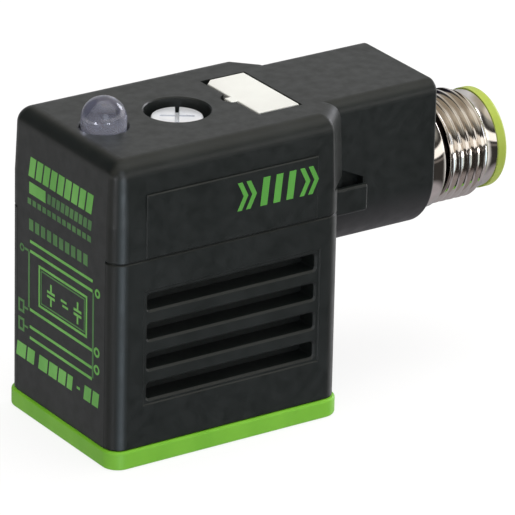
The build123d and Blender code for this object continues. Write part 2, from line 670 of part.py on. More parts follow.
# ---- build --------------------------------------------------------------------------
def main():
    """Write one STEP file for each piece."""
    right, left, top, _ = pin_places()
    diode = (DIODE_X, DIODE_R, DIODE_LENGTH, DIODE_LEAD_R, DIODE_SPAN)
    resistor = (RESISTOR_X, RESISTOR_R, RESISTOR_LENGTH, RESISTOR_LEAD_R, RESISTOR_SPAN)
    parts = {
        "lower_housing": make_lower_housing(),
        "upper_housing": make_upper_housing(),
        "gasket": make_gasket(),
        "contact_block": make_contact_block(),
        "screw_guide_tube": make_guide_tube(),
        "potting_compound": make_potting(),
        "central_screw": make_central_screw(),
        "screw_washer": make_screw_washer(),
        "screw_o_ring": make_screw_o_ring(),
        "screw_retaining_ring": make_retaining_ring(),
        "led_lens": make_led_lens(),
        "led_leads": make_led_leads(),
        "marker_plate": make_marker_plate(),
        "circuit_board": make_circuit_board(),
        "suppressor_diode": make_axial_part(*diode),
        "series_resistor": make_axial_part(*resistor),
        "bridge_rectifier": make_bridge_rectifier(),
        "m12_sleeve": make_m12_sleeve(),
        "m12_front_ring": make_m12_front_ring(),
        "m12_o_ring": make_m12_o_ring(),
        "m12_insert": make_m12_insert(),
        "m12_pins": make_m12_pins(),
        "wire_positive": make_wire(right, WIRE_DROP_X),
        "wire_negative": make_wire(left, WIRE_DROP_X),
        "wire_earth": make_wire(top, EARTH_WIRE_DROP_X),
    }
    for name, x, y, turn in contact_places():
        parts[name] = place_contact(x, y, turn)
    os.makedirs("parts", exist_ok=True)
    for name, shape in parts.items():
        export_step(shape, f"parts/{name}.step")


main()
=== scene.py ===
"""Looks of a solenoid valve's electrical plug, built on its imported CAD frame.

Blender works in metres, so lengths are written as millimetres times MM.  +Z points away
from the valve, +X towards the M12 connector, and the origin is the centre of the
gasket's underside.
"""
import json
import math

import bmesh
import bpy
from mathutils import Matrix, Vector


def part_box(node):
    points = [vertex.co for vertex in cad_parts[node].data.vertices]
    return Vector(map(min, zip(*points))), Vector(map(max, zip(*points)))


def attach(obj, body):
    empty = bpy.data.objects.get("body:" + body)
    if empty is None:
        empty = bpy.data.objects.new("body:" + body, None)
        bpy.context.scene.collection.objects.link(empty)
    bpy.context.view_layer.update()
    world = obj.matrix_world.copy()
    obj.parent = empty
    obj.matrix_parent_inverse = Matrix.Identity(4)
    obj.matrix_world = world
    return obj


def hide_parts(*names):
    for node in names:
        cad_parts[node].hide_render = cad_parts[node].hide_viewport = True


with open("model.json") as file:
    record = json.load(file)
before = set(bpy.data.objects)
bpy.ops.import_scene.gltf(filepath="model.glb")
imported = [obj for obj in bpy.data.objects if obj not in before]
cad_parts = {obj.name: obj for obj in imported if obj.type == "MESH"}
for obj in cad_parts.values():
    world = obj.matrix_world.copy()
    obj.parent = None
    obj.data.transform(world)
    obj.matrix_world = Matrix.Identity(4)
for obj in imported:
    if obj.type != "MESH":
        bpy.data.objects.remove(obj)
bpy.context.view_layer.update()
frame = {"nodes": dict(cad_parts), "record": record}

MM = 0.001
NODES = frame["nodes"]
TAU = 2 * math.pi

# ---- places read from the frame, in metres -------------------------------------------
COVER_LOW, COVER_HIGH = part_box("upper_housing")
SHELL_LOW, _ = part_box("lower_housing")
SLEEVE_LOW, SLEEVE_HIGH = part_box("m12_sleeve")
RING_LOW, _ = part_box("m12_front_ring")
SCREW_LOW, SCREW_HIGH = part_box("central_screw")
LENS_LOW, LENS_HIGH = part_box("led_lens")
LEADS_LOW, LEADS_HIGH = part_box("led_leads")

FRONT_X = COVER_LOW[0]
SIDE_Y = SHELL_LOW[1]
TOP_Z = COVER_HIGH[2]
NECK_END_X = COVER_HIGH[0]
M12_Z = (SLEEVE_LOW[2] + SLEEVE_HIGH[2]) / 2
LED_X = (LENS_LOW[0] + LENS_HIGH[0]) / 2

# ---- sizes shared with the CAD design ------------------------------------------------
TAPER_START_Z = 26.7 * MM
TAPER_INSET = 0.3 * MM
PANEL_RISE = 0.12 * MM

# ---- surround seen in reflections ----------------------------------------------------
# A wall is a row of (height of the direction, colour), from -1 below to 1 overhead.
LILAC = (0.42, 0.39, 0.42)
CARD = (0.045, 0.042, 0.04)
EDGE = (0.22, 0.2, 0.19)
LAMP = (1.5, 1.45, 1.4)
BEIGE = (0.48, 0.42, 0.34)
CEILING = (0.95, 0.93, 0.9)
FRONT_WALL = (
    (-1.0, LILAC),
    (-0.72, LILAC),
    (-0.60, CARD),
    (-0.13, CARD),
    (-0.10, EDGE),
    (-0.06, EDGE),
    (-0.04, CARD),
    (0.02, CARD),
    (0.05, LAMP),
    (0.27, LAMP),
    (0.32, CARD),
    (0.58, CARD),
    (0.66, BEIGE),
    (0.8, (0.62, 0.57, 0.5)),
    (1.0, CEILING),
)
LEFT_WALL = (
    (-1.0, LILAC),
    (-0.66, LILAC),
    (-0.58, CARD),
    (-0.3, CARD),
    (-0.22, LAMP),
    (-0.06, LAMP),
    (-0.035, CARD),
    (0.1, CARD),
    (0.16, BEIGE),
    (1.0, CEILING),
)
BACK_WALL = (
    (-1.0, LILAC),
    (-0.43, (0.34, 0.34, 0.35)),
    (-0.33, (0.58, 0.57, 0.58)),
    (0.0, (0.5, 0.5, 0.5)),
    (0.39, (0.74, 0.74, 0.77)),
    (0.62, (0.5, 0.46, 0.4)),
    (0.8, BEIGE),
    (1.0, CEILING),
)
# A glow is (direction, inner cosine, outer cosine, colour added).
GLOWS = (
    ((-0.42, 0.8, 0.42), 0.93, 0.75, (-0.6, -0.6, -0.6)),
    ((-0.22, -0.9, -0.38), 0.975, 0.9, (1.8, 2.2, 2.5)),
    ((-0.32, -0.83, 0.465), 0.985, 0.95, (2.0, 2.2, 2.5)),
    ((0.935, 0.13, 0.345), 0.99, 0.975, (6.0, 6.0, 6.5)),
    ((0.95, -0.02, -0.12), 0.93, 0.82, (1.0, 1.0, 1.0)),
    ((0.515, -0.39, 0.763), 0.97, 0.88, (0.3, 0.3, 0.28)),
    ((-0.94, -0.34, -0.13), 0.997, 0.992, (11.0, 11.0, 12.0)),
    ((-0.144, -0.98, -0.127), 0.997, 0.992, (13.0, 13.0, 14.0)),
)

DARKEST = (0.01, 0.01, 0.01)
BACKDROP = (0.95, 0.95, 0.95, 1)

# ---- points in a ring, and how far ink stands proud ----------------------------------
ROUND = 160
SMALL_ROUND = 80
INK = 0.014 * MM


# ---- mesh helpers --------------------------------------------------------------------
def new_object(name, bm, smooth_angle=None):
    """An object from a bmesh, smooth shaded below smooth_angle degrees."""
    bmesh.ops.remove_doubles(bm, verts=bm.verts, dist=1e-7)
    bmesh.ops.dissolve_degenerate(bm, edges=bm.edges, dist=1e-8)
    bmesh.ops.recalc_face_normals(bm, faces=bm.faces)
    mesh = bpy.data.meshes.new(name)
    bm.to_mesh(mesh)
    bm.free()
    obj = bpy.data.objects.new(name, mesh)
    bpy.context.collection.objects.link(obj)
    if smooth_angle is not None:
        shade(obj, smooth_angle)
    return obj


def shade(obj, angle):
    """Smooth faces, with edges sharper than angle degrees kept sharp."""
    mesh = obj.data
    mesh.polygons.foreach_set("use_smooth", [True] * len(mesh.polygons))
    mesh.set_sharp_from_angle(angle=math.radians(angle))


def add_rows(bm, rows, closed):
    """Joins rows of points into quads; every row runs once round the axis."""
    grid = [[bm.verts.new(p) for p in row] for row in rows]
    count = len(grid)
    last = count if closed else count - 1
    for i in range(last):
        a, b = grid[i], grid[(i + 1) % count]
        for j in range(len(a)):
            k = (j + 1) % len(a)
            bm.faces.new((a[j], a[k], b[k], b[j]))
    return grid


def around_x(x, radius):
    """Ring of points round the connector's axis."""
    turns = (TAU * j / ROUND for j in range(ROUND))
    return [Vector((x, radius * math.cos(t), M12_Z + radius * math.sin(t))) for t in turns]


def around_z(radius, z, x=0.0):
    """Ring of points round an upright axis at x."""
    turns = (TAU * j / SMALL_ROUND for j in range(SMALL_ROUND))
    return [Vector((x + radius * math.cos(t), radius * math.sin(t), z)) for t in turns]


def thread_rows(ring, start, end, root, crest, pitch, steps, fades):
    """Rows of a right-hand screw thread, steps of them to a turn.

    ring(place) makes one row; place(turn) says how far along and how far out it is.
    Each row follows the helix and is clamped to the thread's two ends, where the
    ridge fades out over the two lengths in fades.  Crest and root flats are a
    quarter of the pitch each.
    """
    span = end - start
    count = int(round((span + pitch) / pitch * steps))
    rows = []
    for i in range(count + 1):
        offset = start - pitch + i * (span + pitch) / count

        def place(turn, offset=offset):
            along = offset + pitch * turn
            along = min(max(along, start), end)
            phase = (along / pitch - turn) % 1.0
            ridge = min(max(1.5 - 4 * abs(phase - 0.5), 0.0), 1.0) ** 0.9
            room = min((along - start) / fades[0], (end - along) / fades[1])
            return along, root + (crest - root) * ridge * min(max(room, 0.0), 1.0)

        rows.append(ring(place))
    return rows


def thread_ring_x(place):
    """One helical row round the connector's axis."""
    row = []
    for j in range(ROUND):
        turn = j / ROUND
        x, r = place(turn)
        row.append(Vector((x, r * math.cos(TAU * turn), M12_Z + r * math.sin(TAU * turn))))
    return row


def thread_ring_z(place):
    """One helical row round the fixing screw's axis."""
    row = []
    for j in range(SMALL_ROUND):
        turn = j / SMALL_ROUND
        z, r = place(turn)
        row.append(Vector((r * math.cos(TAU * turn), r * math.sin(TAU * turn), z)))
    return row


# ---- camera, light and floor ---------------------------------------------------------
def add_camera():
    """Long lens, from the front left and above."""
    azimuth = math.radians(34.01)
    elevation = math.radians(23.16)
    roll = math.radians(1.22)
    target = Vector((10.35, 0, 14.85)) * MM
    distance = 570.8 * MM
    flat = math.cos(elevation)
    back = Vector((-math.sin(azimuth) * flat, -math.cos(azimuth) * flat, math.sin(elevation)))
    right = Vector((0, 0, 1)).cross(back).normalized()
    up = back.cross(right)
    turned_right = math.cos(roll) * right + math.sin(roll) * up
    turned_up = math.cos(roll) * up - math.sin(roll) * right
    data = bpy.data.cameras.new("camera")
    data.sensor_width = 36
    data.lens = 379.5
    data.clip_start = 0.01
    camera = bpy.data.objects.new("camera", data)
    pose = Matrix((turned_right, turned_up, back)).transposed().to_4x4()
    pose.translation = target + distance * back
    camera.matrix_world = pose
    bpy.context.collection.objects.link(camera)
    bpy.context.scene.camera = camera


def add_area_light(name, place, aim, size, power):
    """Rectangular soft light pointing at aim."""
    data = bpy.data.lights.new(name, "AREA")
    data.shape = "RECTANGLE"
    data.size, data.size_y = size
    data.energy = power
    light = bpy.data.objects.new(name, data)
    light.location = place
    light.rotation_euler = (Vector(aim) - Vector(place)).to_track_quat("-Z", "Y").to_euler()
    bpy.context.collection.objects.link(light)
    return light


def world_math(nodes, links, operation, first, second):
    """Vector maths on two sockets or values."""
    node = nodes.new("ShaderNodeVectorMath")
    node.operation = operation
    for socket, value in zip(node.inputs, (first, second)):
        if isinstance(value, bpy.types.NodeSocket):
            links.new(value, socket)
        else:
            socket.default_value = value
    return node.outputs["Value" if operation == "DOT_PRODUCT" else "Vector"]


def fade(nodes, links, source, low, high):
    """Smooth step from 0 at low to 1 at high."""
    node = nodes.new("ShaderNodeMapRange")
    node.interpolation_type = "SMOOTHSTEP"
    node.inputs["From Min"].default_value = low
    node.inputs["From Max"].default_value = high
    links.new(source, node.inputs["Value"])
    return node.outputs["Result"]


def fade_straight(nodes, links, source):
    """Brings -1..1 to 0..1 in proportion."""
    node = nodes.new("ShaderNodeMapRange")
    node.inputs["From Min"].default_value = -1
    links.new(source, node.inputs["Value"])
    return node.outputs["Result"]


def add_glow(nodes, links, total, direction, toward, inner, outer, colour):
    """Adds one round soft light, full within the cosine inner and gone beyond outer."""
    aim = Vector(toward).normalized()
    facing = world_math(nodes, links, "DOT_PRODUCT", direction, aim)
    amount = fade(nodes, links, facing, outer, inner)
    light = world_math(nodes, links, "MULTIPLY", amount, colour)
    return world_math(nodes, links, "ADD", total, light)


def wall(nodes, links, height, stops):
    """Colour by the height of the direction, from -1 below to 1 overhead."""
    return ramp(nodes, links, height, [((z + 1) / 2, colour) for z, colour in stops])


def blend(nodes, links, amount, first, second):
    """Colour between two sockets or values."""
    node = nodes.new("ShaderNodeMix")
    node.data_type = "RGBA"
    links.new(amount, node.inputs["Factor"])
    for name, value in (("A", first), ("B", second)):
        if isinstance(value, bpy.types.NodeSocket):
            links.new(value, node.inputs[name])
        else:
            node.inputs[name].default_value = value
    return node.outputs["Result"]


def add_surround():
    """Studio seen in reflections: light strips and dark cards in front, pale wall behind."""
    world = bpy.data.worlds.new("surround")
    world.use_nodes = True
    nodes, links = world.node_tree.nodes, world.node_tree.links
    direction = nodes.new("ShaderNodeTexCoord").outputs["Generated"]
    parts = nodes.new("ShaderNodeSeparateXYZ")
    links.new(direction, parts.inputs["Vector"])
    height = fade_straight(nodes, links, parts.outputs["Z"])
    front = wall(nodes, links, height, FRONT_WALL)
    back = wall(nodes, links, height, BACK_WALL)
    left = wall(nodes, links, height, LEFT_WALL)
    behind = fade(nodes, links, parts.outputs["Y"], low=-0.15, high=0.25)
    beside = fade(nodes, links, parts.outputs["X"], low=-0.65, high=-0.78)
    total = blend(nodes, links, behind, front, back)
    total = blend(nodes, links, beside, total, left)
    for toward, inner, outer, colour in GLOWS:
        total = add_glow(nodes, links, total, direction, toward, inner, outer, colour)
    total = world_math(nodes, links, "MAXIMUM", total, DARKEST)
    seen = nodes.new("ShaderNodeLightPath").outputs["Is Camera Ray"]
    total = blend(nodes, links, seen, total, BACKDROP)
    links.new(total, nodes["Background"].inputs["Color"])
    bpy.context.scene.world = world


def add_floor():
    """Pale paper just under the gasket, left out of reflections."""
    bm = bmesh.new()
    bmesh.ops.create_grid(bm, x_segments=8, y_segments=8, size=3.0)
    floor = new_object("floor", bm)
    floor.location.z = -0.02 * MM
    floor.visible_glossy = False
    material, _, _, shader = new_material("floor_paper")
    shader.inputs["Base Color"].default_value = (0.16, 0.16, 0.16, 1)
    shader.inputs["Roughness"].default_value = 0.9
    shader.inputs["Specular IOR Level"].default_value = 0.0
    shader.inputs["Emission Color"].default_value = (1, 1, 1, 1)
    shader.inputs["Emission Strength"].default_value = 0.83
    floor.data.materials.append(material)


def add_studio():
    """Surround, soft overhead light and floor."""
    add_surround()
    light = add_area_light(
        "overhead", place=(0.05, -0.05, 0.50), aim=(0.008, 0, 0.015), size=(0.45, 0.45), power=2.3
    )
    light.visible_glossy = False
    add_floor()
    bpy.context.scene.view_settings.view_transform = "Standard"


# ---- materials -----------------------------------------------------------------------
def new_material(name):
    """Empty Principled material with its node tree."""
    material = bpy.data.materials.new(name)
    material.use_nodes = True
    nodes = material.node_tree.nodes
    return material, nodes, material.node_tree.links, nodes["Principled BSDF"]


def object_noise(nodes, links, size, detail=2.0, stretch=(1, 1, 1)):
    """Noise over the object's own coordinates, with features about size metres wide."""
    place = nodes.new("ShaderNodeTexCoord")
    mapping = nodes.new("ShaderNodeMapping")
    mapping.inputs["Scale"].default_value = stretch
    noise = nodes.new("ShaderNodeTexNoise")
    noise.inputs["Scale"].default_value = 1 / size
    noise.inputs["Detail"].default_value = detail
    links.new(place.outputs["Object"], mapping.inputs["Vector"])
    links.new(mapping.outputs["Vector"], noise.inputs["Vector"])
    return noise.outputs["Fac"]


def ramp(nodes, links, source, stops):
    """Colour ramp: stops are (place, colour)."""
    node = nodes.new("ShaderNodeValToRGB")
    first, last = node.color_ramp.elements
    first.position, first.color = stops[0][0], (*stops[0][1], 1)
    last.position, last.color = stops[-1][0], (*stops[-1][1], 1)
    for place, colour in stops[1:-1]:
        node.color_ramp.elements.new(place).color = (*colour, 1)
    links.new(source, node.inputs["Fac"])
    return node.outputs["Color"]


def spread(nodes, links, source, low, high):
    """Noise mapped to low..high; nearly all of it lies between 0.3 and 0.7."""
    node = nodes.new("ShaderNodeMapRange")
    node.inputs["From Min"].default_value = 0.3
    node.inputs["From Max"].default_value = 0.7
    node.inputs["To Min"].default_value = low
    node.inputs["To Max"].default_value = high
    links.new(source, node.inputs["Value"])
    return node.outputs["Result"]


def bump(nodes, links, shader, heights):
    """Chain of bumps: heights are (source, depth in metres)."""
    normal = None
    for source, depth in heights:
        node = nodes.new("ShaderNodeBump")
        node.inputs["Distance"].default_value = depth
        links.new(source, node.inputs["Height"])
        if normal is not None:
            links.new(normal, node.inputs["Normal"])
        normal = node.outputs["Normal"]
    links.new(normal, shader.inputs["Normal"])


def moulded_plastic(name, dark, light, rough, grain=0.12 * MM, depth=0.006 * MM):
    """Moulded plastic: spark-eroded grain, faint flow marks and uneven gloss."""
    material, nodes, links, shader = new_material(name)
    fine = object_noise(nodes, links, size=grain, detail=3)
    flow = object_noise(nodes, links, size=5 * MM, detail=3, stretch=(1, 1, 0.35))
    scuff = object_noise(nodes, links, size=1.2 * MM, detail=5)
    colour = ramp(nodes, links, flow, [(0.35, dark), (0.65, light)])
    links.new(colour, shader.inputs["Base Color"])
    links.new(spread(nodes, links, scuff, *rough), shader.inputs["Roughness"])
    bump(nodes, links, shader, [(flow, 0.01 * MM), (fine, depth)])
    return material


def elastomer(name, dark, light, rough):
    """Soft rubbery moulding: matt, with a little depth."""
    material = moulded_plastic(name, dark, light, rough, grain=0.25 * MM, depth=0.004 * MM)
    shader = material.node_tree.nodes["Principled BSDF"]
    shader.inputs["Subsurface Weight"].default_value = 0.15
    shader.inputs["Subsurface Radius"].default_value = (0.4, 0.6, 0.2)
    shader.inputs["Subsurface Scale"].default_value = 0.5 * MM
    return material


def turned_metal(name, dark, light, rough, axis, metallic=1.0):
    """Plated metal with fine tool lines round one axis (0 for X, 2 for Z)."""
    material, nodes, links, shader = new_material(name)
    stretch = [0.02, 0.02, 0.02]
    stretch[axis] = 1.0
    lines = object_noise(nodes, links, size=0.05 * MM, detail=2, stretch=stretch)
    cloud = object_noise(nodes, links, size=1.5 * MM, detail=4)
    colour = ramp(nodes, links, cloud, [(0.3, dark), (0.7, light)])
    links.new(colour, shader.inputs["Base Color"])
    links.new(spread(nodes, links, lines, *rough), shader.inputs["Roughness"])
    shader.inputs["Metallic"].default_value = metallic
    bump(nodes, links, shader, [(cloud, 0.003 * MM), (lines, 0.0015 * MM)])
    return material


def paint_relief_shade(material, start, end):
    """Painted shade: darkens the plating's colour in the turned relief from x = start to x = end, where the
    groove lies in shade.
    """
    nodes, links = material.node_tree.nodes, material.node_tree.links
    shader = nodes["Principled BSDF"]
    colour = shader.inputs["Base Color"].links[0].from_socket
    parts = nodes.new("ShaderNodeSeparateXYZ")
    links.new(nodes.new("ShaderNodeTexCoord").outputs["Object"], parts.inputs["Vector"])
    # Colour painted into the relief as its shade; the plating there is no different.
    relief_shade_colour = (0.1, 0.09, 0.085, 1)
    edge = 0.04 * MM
    inside = fade(nodes, links, parts.outputs["X"], start, start + edge)
    before_end = fade(nodes, links, parts.outputs["X"], end, end - edge)
    both = nodes.new("ShaderNodeMath")
    both.operation = "MULTIPLY"
    links.new(inside, both.inputs[0])
    links.new(before_end, both.inputs[1])
    shaded = blend(nodes, links, both.outputs["Value"], colour, relief_shade_colour)
    links.new(shaded, shader.inputs["Base Color"])


def clear_epoxy():
    """LED resin: clear dome, cloudier towards its foot."""
    cloudy_z = 33.9 * MM
    clear_z = 35.8 * MM
    material, nodes, links, shader = new_material("smoky_epoxy")
    cloud = object_noise(nodes, links, size=0.8 * MM, detail=3)
    tint = ramp(nodes, links, cloud, [(0.3, (0.72, 0.74, 0.9)), (0.7, (0.84, 0.85, 0.98))])
    links.new(tint, shader.inputs["Base Color"])
    links.new(spread(nodes, links, cloud, 0.02, 0.05), shader.inputs["Roughness"])
    parts = nodes.new("ShaderNodeSeparateXYZ")
    links.new(nodes.new("ShaderNodeTexCoord").outputs["Object"], parts.inputs["Vector"])
    clear = nodes.new("ShaderNodeMapRange")
    clear.interpolation_type = "SMOOTHSTEP"
    clear.inputs["From Min"].default_value = cloudy_z
    clear.inputs["From Max"].default_value = clear_z
    clear.inputs["To Min"].default_value = 0.74
    clear.inputs["To Max"].default_value = 0.97
    links.new(parts.outputs["Z"], clear.inputs["Value"])
    links.new(clear.outputs["Result"], shader.inputs["Transmission Weight"])
    shader.inputs["IOR"].default_value = 1.53
    bump(nodes, links, shader, [(cloud, 0.001 * MM)])
    return material


def board_laminate():
    """Green solder mask with faint copper tracks under it."""
    material, nodes, links, shader = new_material("solder_mask")
    tracks = object_noise(nodes, links, size=1.1 * MM, detail=0, stretch=(1, 0.2, 1))
    stops = [(0.47, (0.015, 0.12, 0.04)), (0.5, (0.03, 0.22, 0.07))]
    links.new(ramp(nodes, links, tracks, stops), shader.inputs["Base Color"])
    fine = object_noise(nodes, links, size=0.2 * MM)
    links.new(spread(nodes, links, fine, 0.3, 0.42), shader.inputs["Roughness"])
    bump(nodes, links, shader, [(tracks, 0.02 * MM)])
    return material


def two_colour_wire(name, first, second):
    """Insulation with a second colour in long streaks."""
    material, nodes, links, shader = new_material(name)
    streak = object_noise(nodes, links, size=1.5 * MM, detail=0, stretch=(0.1, 1, 0.3))
    colour = ramp(nodes, links, streak, [(0.49, first), (0.51, second)])
    links.new(colour, shader.inputs["Base Color"])
    fine = object_noise(nodes, links, size=0.2 * MM)
    links.new(spread(nodes, links, fine, 0.4, 0.55), shader.inputs["Roughness"])
    bump(nodes, links, shader, [(fine, 0.004 * MM)])
    return material


# Each row: material slot, then name, darkest and lightest colour, and roughness from and to.
PLASTICS = {
    "housing_plastic": ("black_polyamide", (0.0062, 0.0085, 0.0078), (0.0092, 0.0118, 0.0112), (0.36, 0.48)),
    "insulator_plastic": ("dark_insulator", (0.02, 0.02, 0.022), (0.03, 0.03, 0.032), (0.45, 0.6)),
    "retainer_nylon": ("natural_nylon", (0.75, 0.73, 0.66), (0.82, 0.8, 0.74), (0.35, 0.5)),
    "led_chip": ("chip_phosphor", (0.7, 0.5, 0.1), (0.8, 0.6, 0.15), (0.3, 0.4)),
    "marker_white": ("marker_plastic", (0.6, 0.605, 0.575), (0.65, 0.66, 0.625), (0.4, 0.55)),
    "diode_black": ("moulded_epoxy", (0.015, 0.015, 0.016), (0.03, 0.03, 0.03), (0.4, 0.55)),
    "resistor_beige": ("beige_lacquer", (0.5, 0.38, 0.22), (0.58, 0.45, 0.28), (0.3, 0.4)),
    "potting_resin": ("cast_resin", (0.02, 0.02, 0.02), (0.035, 0.035, 0.035), (0.2, 0.35)),
    "print_green": ("green_ink", (0.11, 0.36, 0.06), (0.16, 0.46, 0.09), (0.5, 0.65)),
    "print_deep": ("deep_green_ink", (0.058, 0.26, 0.026), (0.08, 0.32, 0.038), (0.5, 0.65)),
    "print_faint": ("thin_green_ink", (0.05, 0.15, 0.045), (0.08, 0.22, 0.06), (0.5, 0.65)),
    "insert_plastic": ("pin_carrier", (0.015, 0.015, 0.017), (0.025, 0.025, 0.027), (0.4, 0.55)),
}
RUBBERS = {
    "gasket_green": ("lime_elastomer", (0.15, 0.42, 0.02), (0.18, 0.47, 0.028), (0.4, 0.5)),
    "seal_rubber": ("black_nitrile", (0.012, 0.012, 0.012), (0.02, 0.02, 0.02), (0.45, 0.6)),
    "ring_lime": ("lime_ring", (0.32, 0.4, 0.055), (0.37, 0.45, 0.07), (0.35, 0.45)),
}
# Metals add the axis of their tool lines, and how metallic they are if not fully.
METALS = {
    "contact_metal": ("tinned_brass", (0.62, 0.6, 0.54), (0.75, 0.72, 0.64), (0.25, 0.4), 2),
    "screw_steel": ("zinc_plate", (0.82, 0.85, 0.9), (0.93, 0.95, 0.98), (0.25, 0.4), 2, 0.6),
    "led_metal": ("lead_frame", (0.7, 0.7, 0.68), (0.82, 0.82, 0.8), (0.2, 0.35), 2),
    "nickel_plate": ("nickel_plate", (0.66, 0.62, 0.57), (0.76, 0.72, 0.67), (0.05, 0.12), 0),
    "pin_gold": ("gold_plate", (0.8, 0.55, 0.2), (0.9, 0.65, 0.28), (0.18, 0.3), 0),
}
# Wires have two insulation colours and no roughness of their own.
WIRES = {
    "wire_brown": ("brown_wire", (0.1, 0.04, 0.02), (0.12, 0.05, 0.025)),
    "wire_blue": ("blue_wire", (0.02, 0.08, 0.35), (0.025, 0.1, 0.4)),
    "wire_green_yellow": ("earth_wire", (0.05, 0.3, 0.04), (0.75, 0.6, 0.04)),
}


def make_materials():
    """Every material, by the record's material slot or the ink's name."""
    materials = {"led_epoxy": clear_epoxy(), "board_laminate": board_laminate()}
    for looks, make in (
        (PLASTICS, moulded_plastic),
        (RUBBERS, elastomer),
        (METALS, turned_metal),
        (WIRES, two_colour_wire),
    ):
        for slot, look in looks.items():
            materials[slot] = make(*look)
    return materials


def paint_cad_nodes(materials):
    """Gives each carried-over CAD node the material of its slot."""
    slots = {part["node"]: part["material_slot"] for part in frame["record"]["subparts"]}
    for name, obj in NODES.items():
        if not obj.data.materials:
            obj.data.materials.append(None)
        for slot in obj.material_slots:
            slot.material = materials[slots[name]]


# ---- M12 connector -------------------------------------------------------------------
def make_sleeve(materials):
    """Nickel plated sleeve with a collar and a real M12x1 thread."""
    edge = 0.2 * MM
    tail_x, mouth_x = SLEEVE_LOW[0], SLEEVE_HIGH[0]
    tail_r = 5.45 * MM
    tail_bore_r = 3.9 * MM
    collar_x = NECK_END_X + 0.02 * MM
    collar_end = 30.1 * MM
    collar_r = 6.13 * MM
    groove_r = 5.2 * MM
    thread_x0 = 30.7 * MM
    thread_x1 = 36.0 * MM
    root_r = 5.36 * MM
    crest_r = 5.95 * MM
    pitch = 1.0 * MM
    steps = 16
    fades = (0.03 * MM, 0.9 * MM)
    spigot_x = RING_LOW[0]
    spigot_r = 4.87 * MM
    cavity_x = 26.0 * MM
    cavity_r = 4.36 * MM
    to_thread = (
        (tail_x, tail_r),
        (collar_x, tail_r),
        (collar_x, collar_r - edge),
        (collar_x + 0.3 * edge, collar_r - 0.4 * edge),
        (collar_x + edge, collar_r),
        (collar_end - edge, collar_r),
        (collar_end - 0.3 * edge, collar_r - 0.4 * edge),
        (collar_end, collar_r - edge),
        (collar_end, groove_r),
        (thread_x0, groove_r),
        (thread_x0 + 0.02 * MM, root_r),
    )
    back_inside = (
        (spigot_x, root_r),
        (spigot_x, spigot_r),
        (mouth_x, spigot_r),
        (mouth_x, cavity_r),
        (cavity_x, cavity_r),
        (cavity_x, tail_bore_r),
        (tail_x, tail_bore_r),
    )
    rows = [around_x(x, r) for x, r in to_thread]
    rows += thread_rows(thread_ring_x, thread_x0, thread_x1, root_r, crest_r, pitch, steps, fades)
    rows += [around_x(x, r) for x, r in back_inside]
    bm = bmesh.new()
    add_rows(bm, rows, closed=True)
    # Painted shade in the groove between the collar and the start of the thread.
    paint_relief_shade(materials["nickel_plate"], start=collar_end - 0.02 * MM, end=thread_x0 + 0.1 * MM)
    sleeve = new_object("m12_sleeve_threaded", bm, smooth_angle=35)
    sleeve.data.materials.append(materials["nickel_plate"])
    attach(sleeve, "housing")
    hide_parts("m12_sleeve")


# ---- fixing screw --------------------------------------------------------------------
def taper_box(bm, length, wide, narrow, z0, z1, turn):
    """Slot-shaped cutter, wide at z1 and narrow at z0, turned about the screw's axis."""
    spin = Matrix.Rotation(turn, 4, "Z")
    corners = []
    for z, half in ((z0, narrow / 2), (z1, wide / 2)):
        for x, y in ((-length / 2, -half), (length / 2, -half), (length / 2, half), (-length / 2, half)):
            corners.append(bm.verts.new(spin @ Vector((x, y, z))))
    low, high = corners[:4], corners[4:]
    bm.faces.new(low)
    bm.faces.new(high)
    for i in range(4):
        j = (i + 1) % 4
        bm.faces.new((low[i], low[j], high[j], high[i]))


def apply_modifiers(obj):
    """Fixes the object's modifiers into its mesh."""
    graph = bpy.context.evaluated_depsgraph_get()
    mesh = bpy.data.meshes.new_from_object(obj.evaluated_get(graph))
    obj.modifiers.clear()
    obj.data = mesh


def cut(obj, bm, name):
    """Takes the closed shape in bm out of the object."""
    cutter = new_object(name, bm)
    modifier = obj.modifiers.new(name, "BOOLEAN")
    modifier.operation = "DIFFERENCE"
    modifier.solver = "EXACT"
    modifier.object = cutter
    apply_modifiers(obj)
    bpy.data.objects.remove(cutter)


def screw_blank():
    """Screw of revolution with its thread, before the drive is cut."""
    edge = 0.28 * MM
    tip_z, top_z = SCREW_LOW[2], SCREW_HIGH[2]
    tip_r = 0.9 * MM
    tip_height = 0.3 * MM
    head_r = SCREW_HIGH[0]
    under_z = top_z - 2.0 * MM
    under_edge = 0.1 * MM
    shank_r = 1.2 * MM
    thread_r = 1.5 * MM
    pitch = 0.5 * MM
    steps = 10
    thread_z0 = tip_z + tip_height + 0.05 * MM
    thread_z1 = 8.3 * MM
    fades = (0.5 * MM, 0.5 * MM)
    to_top = (
        (shank_r, thread_z1 + 0.05 * MM),
        (shank_r, under_z),
        (head_r - under_edge, under_z),
        (head_r, under_z + under_edge),
        (head_r, top_z - edge),
        (head_r - 0.3 * edge, top_z - 0.3 * edge),
        (head_r - edge, top_z),
    )
    rows = [around_z(tip_r, tip_z), around_z(shank_r, tip_z + tip_height)]
    rows += thread_rows(thread_ring_z, thread_z0, thread_z1, shank_r, thread_r, pitch, steps, fades)
    rows += [around_z(r, z) for r, z in to_top]
    bm = bmesh.new()
    grid = add_rows(bm, rows, closed=False)
    bm.faces.new(grid[0])
    bm.faces.new(grid[-1])
    return new_object("central_screw_threaded", bm)


